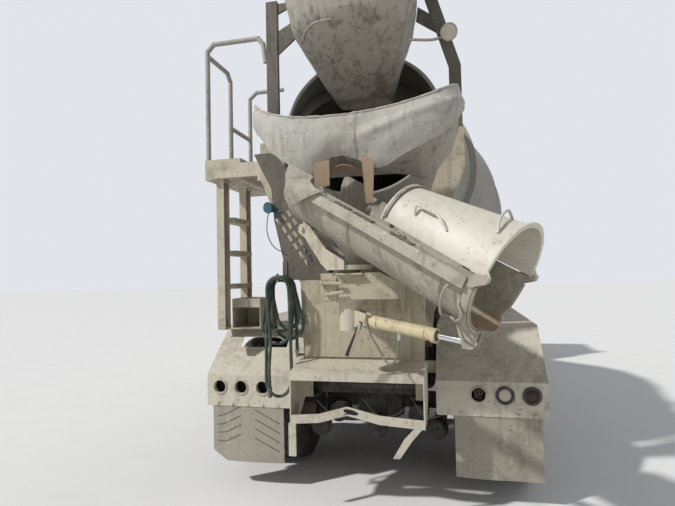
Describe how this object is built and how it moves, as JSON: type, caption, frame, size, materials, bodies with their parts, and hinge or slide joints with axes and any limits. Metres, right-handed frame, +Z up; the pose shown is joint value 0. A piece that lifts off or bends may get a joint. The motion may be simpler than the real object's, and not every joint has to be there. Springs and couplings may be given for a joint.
{
  "type": "concrete mixer truck",
  "caption": "Rear-discharge concrete mixer truck: conventional cab, tandem rear axle, tilted drum, charge hopper, collector, turning and folding discharge chute, platform and ladder",
  "frame": {"origin": "middle of the bounding box in plan, on the ground under the wheels", "axes": "+X to the right seen from behind, +Y forward towards the cab, +Z up"},
  "size_m": [2.58, 9.29, 3.851],
  "materials": {
    "body_paint": "worn satin cream under concrete splash",
    "drum_paint": "grey-white with dried concrete",
    "hopper_steel": "grey-beige with dark grime",
    "chassis_paint": "dusty black",
    "clean_cream": "clean cream",
    "guard_steel": "dark dusty",
    "cylinder_paint": "pale yellow",
    "chrome": "polished",
    "bright_steel": "brushed",
    "tyre_rubber": "dusty black",
    "flap_rubber": "caked with dust",
    "cast": "rough",
    "glass": "clear",
    "lamp_lens": "dusty red",
    "clear_lens": "clear",
    "trim": "matt",
    "hose_rubber": "dull dark green"
  },
  "bodies": {
    "chassis": {"frame_rails": "chassis_paint", "front_bumper": "bright_steel", "engine_block": "cast", "cab_shell": "body_paint", "cab_glass": "glass", "cab_interior": "trim", "quarter_fenders": "body_paint", "fuel_tank": "bright_steel", "battery_box": "bright_steel", "water_tank": "body_paint", "exhaust_stack": "bright_steel", "drive_pedestal": "cast", "roller_pedestal": "body_paint", "rear_fenders": "body_paint", "mud_flaps": "flap_rubber", "rear_apron": "body_paint", "tail_lamps": "lamp_lens", "rear_tower": "body_paint", "guard_plate": "guard_steel", "platform": "body_paint", "ladder": "body_paint", "handrails": "body_paint", "hopper_frame": "hopper_steel", "charge_hopper": "hopper_steel", "collector": "hopper_steel", "chute_post": "body_paint", "front_axle": "chassis_paint", "rear_axles": "chassis_paint", "hose_hank": "hose_rubber", "hose_runs": "hose_rubber", "hose_end": "bright_steel"},
    "drum": {"drum_shell": "drum_paint", "drum_flights": "drum_paint"},
    "roller_left": {"roller_left": "cast"},
    "roller_right": {"roller_right": "cast"},
    "chute_turret": {"chute_turret": "body_paint"},
    "main_chute": {"main_chute": "body_paint"},
    "fold_chute": {"fold_chute": "clean_cream"},
    "lift_barrel": {"lift_barrel": "cylinder_paint"},
    "lift_rod": {"lift_rod": "chrome"},
    "hood": {"hood": "body_paint", "headlamps": "clear_lens"},
    "door_left": {"door_left": "body_paint", "door_glass_left": "glass"},
    "door_right": {"door_right": "body_paint", "door_glass_right": "glass"},
    "knuckle_left": {"knuckle_left": "chassis_paint"},
    "knuckle_right": {"knuckle_right": "chassis_paint"},
    "wheel_front_left": {"tyre_front_left": "tyre_rubber", "rim_front_left": "body_paint"},
    "wheel_front_right": {"tyre_front_right": "tyre_rubber", "rim_front_right": "body_paint"},
    "wheels_rear_left": {"tyres_rear_left": "tyre_rubber", "rims_rear_left": "body_paint"},
    "wheels_rear_right": {"tyres_rear_right": "tyre_rubber", "rims_rear_right": "body_paint"},
    "wheels_mid_left": {"tyres_mid_left": "tyre_rubber", "rims_mid_left": "body_paint"},
    "wheels_mid_right": {"tyres_mid_right": "tyre_rubber", "rims_mid_right": "body_paint"}
  },
  "joints": [
    {"name": "steer_left", "type": "hinge", "parent": "chassis", "child": "knuckle_left", "pos_m": [-0.85, 3.495, 0.56], "axis": [0, 0, 1], "range_deg": [-32, 32]},
    {"name": "steer_right", "type": "hinge", "parent": "chassis", "child": "knuckle_right", "pos_m": [0.85, 3.495, 0.56], "axis": [0, 0, 1], "range_deg": [-32, 32]},
    {"name": "spin_front_left", "type": "hinge", "parent": "knuckle_left", "child": "wheel_front_left", "pos_m": [-1.01, 3.495, 0.56], "axis": [1, 0, 0], "continuous": true},
    {"name": "spin_front_right", "type": "hinge", "parent": "knuckle_right", "child": "wheel_front_right", "pos_m": [1.01, 3.495, 0.56], "axis": [1, 0, 0], "continuous": true},
    {"name": "spin_mid_left", "type": "hinge", "parent": "chassis", "child": "wheels_mid_left", "pos_m": [-1.08, -1.295, 0.515], "axis": [1, 0, 0], "continuous": true},
    {"name": "spin_mid_right", "type": "hinge", "parent": "chassis", "child": "wheels_mid_right", "pos_m": [1.08, -1.295, 0.515], "axis": [1, 0, 0], "continuous": true},
    {"name": "spin_rear_left", "type": "hinge", "parent": "chassis", "child": "wheels_rear_left", "pos_m": [-1.08, -2.615, 0.515], "axis": [1, 0, 0], "continuous": true},
    {"name": "spin_rear_right", "type": "hinge", "parent": "chassis", "child": "wheels_rear_right", "pos_m": [1.08, -2.615, 0.515], "axis": [1, 0, 0], "continuous": true},
    {"name": "drum_spin", "type": "hinge", "parent": "chassis", "child": "drum", "pos_m": [0, -3.285, 2.75], "axis": [0, 0.9744, -0.225], "continuous": true},
    {"name": "roller_left_spin", "type": "hinge", "parent": "chassis", "child": "roller_left", "pos_m": [-0.52753, -2.54926, 1.7137], "axis": [0, 0.9744, -0.225], "continuous": true},
    {"name": "roller_right_spin", "type": "hinge", "parent": "chassis", "child": "roller_right", "pos_m": [0.52753, -2.54926, 1.7137], "axis": [0, 0.9744, -0.225], "continuous": true},
    {"name": "hood_tilt", "type": "hinge", "parent": "chassis", "child": "hood", "pos_m": [0, 4.585, 0.772], "axis": [-1, 0, 0], "range_deg": [0, 62]},
    {"name": "door_left_swing", "type": "hinge", "parent": "chassis", "child": "door_left", "pos_m": [-1.02, 3.127, 1.9], "axis": [0, 0, -1], "range_deg": [0, 66]},
    {"name": "door_right_swing", "type": "hinge", "parent": "chassis", "child": "door_right", "pos_m": [1.02, 3.127, 1.9], "axis": [0, 0, 1], "range_deg": [0, 66]},
    {"name": "chute_swing", "type": "hinge", "parent": "chassis", "child": "chute_turret", "pos_m": [0, -3.855, 1.5], "axis": [0, 0, 1], "range_deg": [-124, 5]},
    {"name": "chute_lift", "type": "hinge", "parent": "chute_turret", "child": "main_chute", "pos_m": [-0.2384, -3.72824, 1.9], "axis": [-0.4695, -0.8829, 0], "range_deg": [-2, 10]},
    {"name": "chute_fold", "type": "hinge", "parent": "main_chute", "child": "fold_chute", "pos_m": [0.94611, -4.35806, 1.55852], "axis": [0.4695, 0.8829, 0], "range_deg": [0, 175]},
    {"name": "lift_barrel_tilt", "type": "hinge", "parent": "chute_turret", "child": "lift_barrel", "pos_m": [0.10595, -3.91134, 1.31], "axis": [-0.4695, -0.8829, 0], "range_deg": [-3.2, 15.4]},
    {"name": "lift_rod_slide", "type": "slide", "parent": "lift_barrel", "child": "lift_rod", "axis": [0.8759, -0.4657, -0.1258], "range_m": [-0.0206, 0.1018]}
  ],
  "couplings": [
    {"joint": "steer_right", "follows": "steer_left", "ratio": 1},
    {"joint": "lift_barrel_tilt", "follows": "chute_lift", "ratio": 1.52},
    {"joint": "lift_rod_slide", "follows": "chute_lift", "m_per_rad": 0.58}
  ]
}
